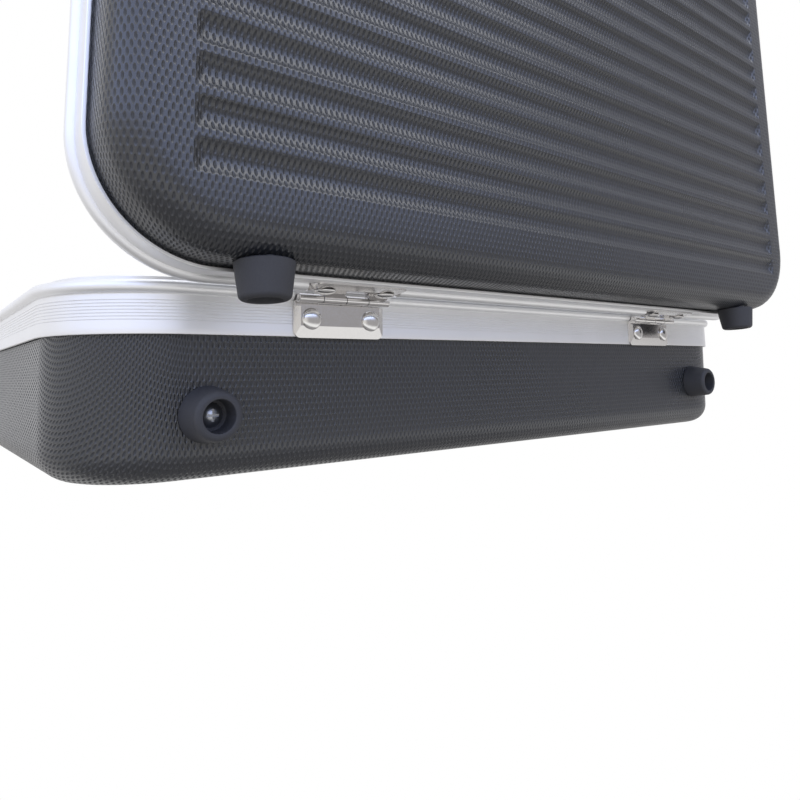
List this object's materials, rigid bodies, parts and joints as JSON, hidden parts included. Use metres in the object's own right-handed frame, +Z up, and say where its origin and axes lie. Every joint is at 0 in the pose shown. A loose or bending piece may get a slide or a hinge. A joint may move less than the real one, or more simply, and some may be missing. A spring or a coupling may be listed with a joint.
{
  "type": "tool_case",
  "caption": "Hard tool case: black embossed plastic shells with a corrugated lid panel in satin aluminium frames, steel hinges, draw latches, rubber feet and a carrying handle, lid open",
  "frame": {"origin": "middle of the base's underside, on the surface that it stands on", "axes": "X along the case's length, +Y towards the hinges, -Y towards the latches and handle, +Z up; the lid stands open"},
  "size_m": [0.3894, 0.3579, 0.3573],
  "materials": {
    "black_shell": "black sheet plastic with a fine woven emboss and a low sheen",
    "frame_aluminium": "satin anodised aluminium extrusion with fine lines",
    "hinge_steel": "bright nickel plated pressed steel",
    "rivet_steel": "polished domed rivets",
    "screw_steel": "dull zinc plated screws, nuts and pins",
    "foot_rubber": "dark matte rubber",
    "handle_plastic": "black moulded plastic"
  },
  "bodies": {
    "base": {"base_shell": "black_shell", "base_frame": "frame_aluminium", "right_hinge_base_leaf": "hinge_steel", "right_hinge_pin": "hinge_steel", "left_hinge_base_leaf": "hinge_steel", "left_hinge_pin": "hinge_steel", "hinge_base_rivets": "rivet_steel", "right_base_foot": "foot_rubber", "left_base_foot": "foot_rubber", "base_foot_screws": "screw_steel", "base_foot_nuts": "screw_steel", "right_latch_base": "hinge_steel", "right_latch_lever_pins": "hinge_steel", "left_latch_base": "hinge_steel", "left_latch_lever_pins": "hinge_steel", "latch_rivets": "rivet_steel", "left_handle_bracket": "hinge_steel", "right_handle_bracket": "hinge_steel", "handle_pins": "screw_steel", "bracket_rivets": "rivet_steel"},
    "lid": {"lid_shell": "black_shell", "lid_frame": "frame_aluminium", "right_hinge_lid_leaf": "hinge_steel", "left_hinge_lid_leaf": "hinge_steel", "hinge_lid_rivets": "rivet_steel", "right_lid_foot": "foot_rubber", "left_lid_foot": "foot_rubber", "lid_foot_screws": "screw_steel", "lid_foot_nuts": "screw_steel", "right_strike": "hinge_steel", "left_strike": "hinge_steel", "strike_rivets": "rivet_steel"},
    "handle": {"handle": "handle_plastic"},
    "right_lever": {"right_latch_lever": "hinge_steel", "right_latch_claw_pin": "hinge_steel"},
    "right_claw": {"right_latch_claw": "hinge_steel"},
    "left_lever": {"left_latch_lever": "hinge_steel", "left_latch_claw_pin": "hinge_steel"},
    "left_claw": {"left_latch_claw": "hinge_steel"}
  },
  "joints": [
    {"name": "lid_hinge", "type": "hinge", "parent": "base", "child": "lid", "pos_m": [0, 0.1489, 0.0592], "axis": [1, 0, 0], "range_deg": [0, 90]},
    {"name": "handle_hinge", "type": "hinge", "parent": "base", "child": "handle", "pos_m": [0, -0.152, 0.0534], "axis": [-1, 0, 0], "range_deg": [0, 95]},
    {"name": "right_lever_hinge", "type": "hinge", "parent": "base", "child": "right_lever", "pos_m": [-0.115, -0.15, 0.057], "axis": [1, 0, 0], "range_deg": [0, 110]},
    {"name": "right_claw_hinge", "type": "hinge", "parent": "right_lever", "child": "right_claw", "pos_m": [-0.115, -0.15484, 0.05685], "axis": [-1, 0, 0], "range_deg": [0, 120]},
    {"name": "left_lever_hinge", "type": "hinge", "parent": "base", "child": "left_lever", "pos_m": [0.115, -0.15, 0.057], "axis": [1, 0, 0], "range_deg": [0, 110]},
    {"name": "left_claw_hinge", "type": "hinge", "parent": "left_lever", "child": "left_claw", "pos_m": [0.115, -0.15484, 0.05685], "axis": [-1, 0, 0], "range_deg": [0, 120]}
  ],
  "couplings": [
    {"joint": "right_claw_hinge", "follows": "right_lever_hinge", "ratio": 1.0909},
    {"joint": "left_claw_hinge", "follows": "left_lever_hinge", "ratio": 1.0909}
  ]
}
